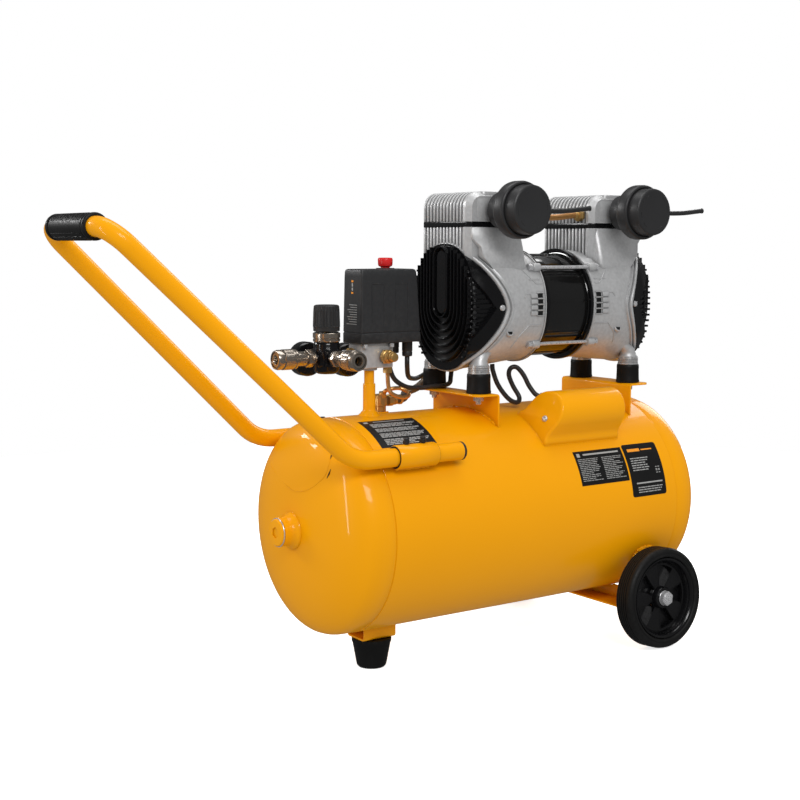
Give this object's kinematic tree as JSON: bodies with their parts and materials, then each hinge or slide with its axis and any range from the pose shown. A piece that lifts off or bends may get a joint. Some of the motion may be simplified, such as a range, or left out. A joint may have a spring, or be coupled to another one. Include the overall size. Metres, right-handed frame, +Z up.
{
  "type": "wheelbarrow air compressor",
  "caption": "Portable oil-free twin-cylinder air compressor on a horizontal receiver with two wheels, a front foot and a sliding U handle.",
  "frame": {"origin": "floor, under the middle of the overall box", "axes": "+X along the receiver from the handle to the wheels, +Z up, -Y the side of the intake filters and the capacitor"},
  "size_m": [0.9936, 0.3704, 0.688],
  "materials": {
    "yellow_paint": "smooth gloss paint",
    "black_paint": "satin black paint on laminated steel",
    "steel": "zinc plated steel",
    "brass": "machined brass",
    "nickel": "nickel plated",
    "cast_aluminium": "die cast with a fine blasted skin",
    "rubber": "moulded black rubber",
    "tyre": "solid rubber",
    "hub_plastic": "moulded",
    "black_plastic": "moulded",
    "gloss_black": "moulded with a satin shine",
    "grey_plastic": "moulded with a fine grain",
    "red_plastic": "moulded",
    "lead_black": "insulated lead",
    "braid": "stainless braid",
    "needle": "painted needle"
  },
  "bodies": {
    "chassis": {"tank_shell": "yellow_paint", "tank_plug": "steel", "drain_valve": "brass", "foot_channel": "yellow_paint", "foot": "rubber", "axle_bracket": "yellow_paint", "axle_bolt_right": "steel", "axle_bolt_left": "steel", "handle_sleeve_right": "yellow_paint", "handle_sleeve_left": "yellow_paint", "saddle_front": "yellow_paint", "saddle_rear": "yellow_paint", "end_bell_front": "cast_aluminium", "end_bell_rear": "cast_aluminium", "fan_cover_front": "gloss_black", "fan_cover_rear": "gloss_black", "cylinder_head_front": "cast_aluminium", "cylinder_head_rear": "cast_aluminium", "intake_filter_front": "gloss_black", "intake_filter_rear": "gloss_black", "mount_front_right": "rubber", "mount_front_left": "rubber", "mount_rear_right": "rubber", "mount_rear_left": "rubber", "stator": "black_paint", "capacitor_cover": "yellow_paint", "switch_housing": "grey_plastic", "manifold": "cast_aluminium", "safety_valve": "brass", "regulator_body": "black_plastic", "gauge_outlet": "black_plastic", "gauge_tank": "black_plastic", "coupler_body_front": "nickel", "coupler_body_side": "nickel", "check_valve": "brass", "delivery_hose": "braid", "switch_lead": "lead_black", "motor_lead": "lead_black", "capacitor_lead": "lead_black"},
    "wheel_right": {"tyre_right": "tyre", "hub_right": "hub_plastic"},
    "wheel_left": {"tyre_left": "tyre", "hub_left": "hub_plastic"},
    "handle": {"handle_tube": "yellow_paint", "grip": "rubber"},
    "switch_knob": {"switch_knob": "red_plastic"},
    "regulator_knob": {"regulator_knob": "black_plastic"},
    "safety_valve_cap": {"safety_valve_cap": "brass"},
    "drain_tap": {"drain_tap": "brass"},
    "coupler_sleeve_front": {"coupler_sleeve_front": "nickel"},
    "coupler_sleeve_side": {"coupler_sleeve_side": "nickel"},
    "rotor": {"rotor": "steel"},
    "piston_front": {"piston_front": "cast_aluminium"},
    "piston_rear": {"piston_rear": "cast_aluminium"},
    "needle_outlet": {"gauge_needle_outlet": "needle"},
    "needle_tank": {"gauge_needle_tank": "needle"},
    "lock_screw_right_front": {"lock_screw_right_front": "black_plastic"},
    "lock_screw_right_rear": {"lock_screw_right_rear": "black_plastic"},
    "lock_screw_left_front": {"lock_screw_left_front": "black_plastic"},
    "lock_screw_left_rear": {"lock_screw_left_rear": "black_plastic"}
  },
  "joints": [
    {"name": "wheel_right_spin", "type": "hinge", "parent": "chassis", "child": "wheel_right", "pos_m": [0.358, -0.165, 0.07565], "axis": [0, -0.9976, 0.0698], "continuous": true},
    {"name": "wheel_left_spin", "type": "hinge", "parent": "chassis", "child": "wheel_left", "pos_m": [0.358, 0.165, 0.07565], "axis": [0, 0.9976, 0.0698], "continuous": true},
    {"name": "handle_slide", "type": "slide", "parent": "chassis", "child": "handle", "axis": [1, 0, 0], "range_m": [-0.045, 0.025]},
    {"name": "lock_screw_right_front_turn", "type": "hinge", "parent": "chassis", "child": "lock_screw_right_front", "pos_m": [-0.0795, -0.12589, 0.33693], "axis": [0, 0, 1], "range_deg": [0, 540]},
    {"name": "lock_screw_right_rear_turn", "type": "hinge", "parent": "chassis", "child": "lock_screw_right_rear", "pos_m": [-0.0525, -0.12589, 0.33693], "axis": [0, 0, 1], "range_deg": [0, 540]},
    {"name": "lock_screw_left_front_turn", "type": "hinge", "parent": "chassis", "child": "lock_screw_left_front", "pos_m": [-0.0795, 0.12589, 0.33693], "axis": [0, 0, 1], "range_deg": [0, 540]},
    {"name": "lock_screw_left_rear_turn", "type": "hinge", "parent": "chassis", "child": "lock_screw_left_rear", "pos_m": [-0.0525, 0.12589, 0.33693], "axis": [0, 0, 1], "range_deg": [0, 540]},
    {"name": "switch_knob_lift", "type": "slide", "parent": "chassis", "child": "switch_knob", "axis": [0, 0, 1], "range_m": [0, 0.008]},
    {"name": "regulator_knob_turn", "type": "hinge", "parent": "chassis", "child": "regulator_knob", "pos_m": [-0.124, 0, 0.4955], "axis": [0, 0, 1], "range_deg": [0, 540]},
    {"name": "safety_valve_pull", "type": "slide", "parent": "chassis", "child": "safety_valve_cap", "axis": [0, -1, 0], "range_m": [0, 0.003], "stiffness_N_per_m": 1500, "springref_m": -0.002},
    {"name": "drain_tap_turn", "type": "hinge", "parent": "chassis", "child": "drain_tap", "pos_m": [0.228, 0.07995, 0.06113], "axis": [0, 0.4695, -0.8829], "range_deg": [0, 360]},
    {"name": "coupler_front_release", "type": "slide", "parent": "chassis", "child": "coupler_sleeve_front", "axis": [1, 0, 0], "range_m": [0, 0.007], "stiffness_N_per_m": 800, "springref_m": -0.003},
    {"name": "coupler_side_release", "type": "slide", "parent": "chassis", "child": "coupler_sleeve_side", "axis": [0, 1, 0], "range_m": [0, 0.007], "stiffness_N_per_m": 800, "springref_m": -0.003},
    {"name": "rotor_spin", "type": "hinge", "parent": "chassis", "child": "rotor", "pos_m": [0.246, 0, 0.5095], "axis": [1, 0, 0], "continuous": true},
    {"name": "piston_front_stroke", "type": "slide", "parent": "chassis", "child": "piston_front", "axis": [0, 0, 1], "range_m": [0, 0.016]},
    {"name": "piston_rear_stroke", "type": "slide", "parent": "chassis", "child": "piston_rear", "axis": [0, 0, 1], "range_m": [0, 0.016]},
    {"name": "needle_outlet_turn", "type": "hinge", "parent": "chassis", "child": "needle_outlet", "pos_m": [-0.127, 0.0565, 0.4405], "axis": [0, -1, 0], "range_deg": [0, 270]},
    {"name": "needle_tank_turn", "type": "hinge", "parent": "chassis", "child": "needle_tank", "pos_m": [-0.06, 0.0565, 0.4365], "axis": [0, -1, 0], "range_deg": [0, 270]}
  ]
}
